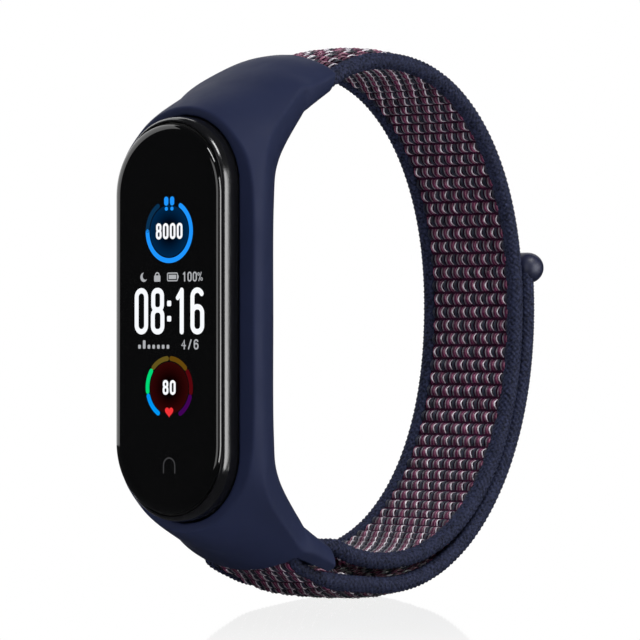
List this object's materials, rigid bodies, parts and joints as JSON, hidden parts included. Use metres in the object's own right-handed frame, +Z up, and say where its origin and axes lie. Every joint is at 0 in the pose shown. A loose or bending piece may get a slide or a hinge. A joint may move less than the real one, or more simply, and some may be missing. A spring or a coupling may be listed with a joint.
{
  "type": "fitness tracker band",
  "caption": "Oval wrist tracker capsule with a glass front in a soft case, on a woven loop strap with a fold-back hook-and-loop tail.",
  "frame": {"origin": "middle of the underside of the standing band, on the surface it stands on", "axes": "+Z up along the capsule's length, the screen faces -Y, and the wrist goes through along X"},
  "size_m": [0.021, 0.0598, 0.063],
  "materials": {
    "silicone": "moulded silicone, satin, dark navy",
    "weave": "woven nylon loops: white, maroon, slate blue and dark yarns",
    "cord": "fine braided nylon edge cord, dark navy",
    "hooks": "hook tape, near black",
    "tab": "moulded end bar, satin navy",
    "glass": "polished black cover glass with rounded edges",
    "shell": "gloss black polycarbonate",
    "rubber": "matt black gasket",
    "display": "display panel",
    "flex": "polyimide flexible circuit",
    "frame": "die-cast frame",
    "board": "green circuit board",
    "chip": "black chip package",
    "battery": "foil pouch",
    "steel": "stainless steel",
    "gold": "gold-plated metal",
    "lens": "dark clear window over the sensor",
    "led": "green light-emitting diode",
    "magnet": "nickel-plated magnet"
  },
  "bodies": {
    "band": {"carrier_case": "silicone", "strap_pin": "steel", "strap_band": "weave", "strap_edge_cord_right": "cord", "strap_edge_cord_left": "cord"},
    "tracker": {"capsule_shell": "shell", "cover_glass": "glass", "sensor_window": "lens", "charging_contact_1": "gold", "charging_contact_2": "gold", "glass_gasket": "rubber", "display_panel": "display", "display_flex": "flex", "inner_frame": "frame", "main_board": "board", "processor_chip": "chip", "radio_chip": "chip", "motion_sensor_chip": "chip", "charger_chip": "chip", "battery_connector": "gold", "battery_cell": "battery", "antenna_foil": "gold", "sensor_board": "board", "green_led_1": "led", "green_led_2": "led", "photodiode": "chip", "charging_magnet_1": "magnet", "charging_magnet_2": "magnet", "vibration_motor_can": "steel", "vibration_motor_shaft": "steel"},
    "tail": {"tail_band": "weave", "tail_edge_cord_right": "cord", "tail_edge_cord_left": "cord", "tail_hook_strip": "hooks"},
    "tail_end": {"tail_tip_band": "weave", "tail_tip_edge_cord_right": "cord", "tail_tip_edge_cord_left": "cord", "tail_tip_hook_strip": "hooks", "end_tab": "tab"},
    "motor_weight": {"vibration_motor_weight": "steel"}
  },
  "joints": [
    {"name": "tracker_slide", "type": "slide", "parent": "band", "child": "tracker", "axis": [0, -1, 0], "range_m": [0, 0.016]},
    {"name": "tail_peel", "type": "hinge", "parent": "band", "child": "tail", "pos_m": [0, 0.02073, 0.0094], "axis": [-1, 0, 0], "range_deg": [0, 60]},
    {"name": "tip_peel", "type": "hinge", "parent": "tail", "child": "tail_end", "pos_m": [0, 0.02799, 0.02457], "axis": [-1, 0, 0], "range_deg": [0, 50]},
    {"name": "motor_spin", "type": "hinge", "parent": "tracker", "child": "motor_weight", "pos_m": [0, -0.02289, 0.01764], "axis": [0, 1, 0], "continuous": true}
  ]
}
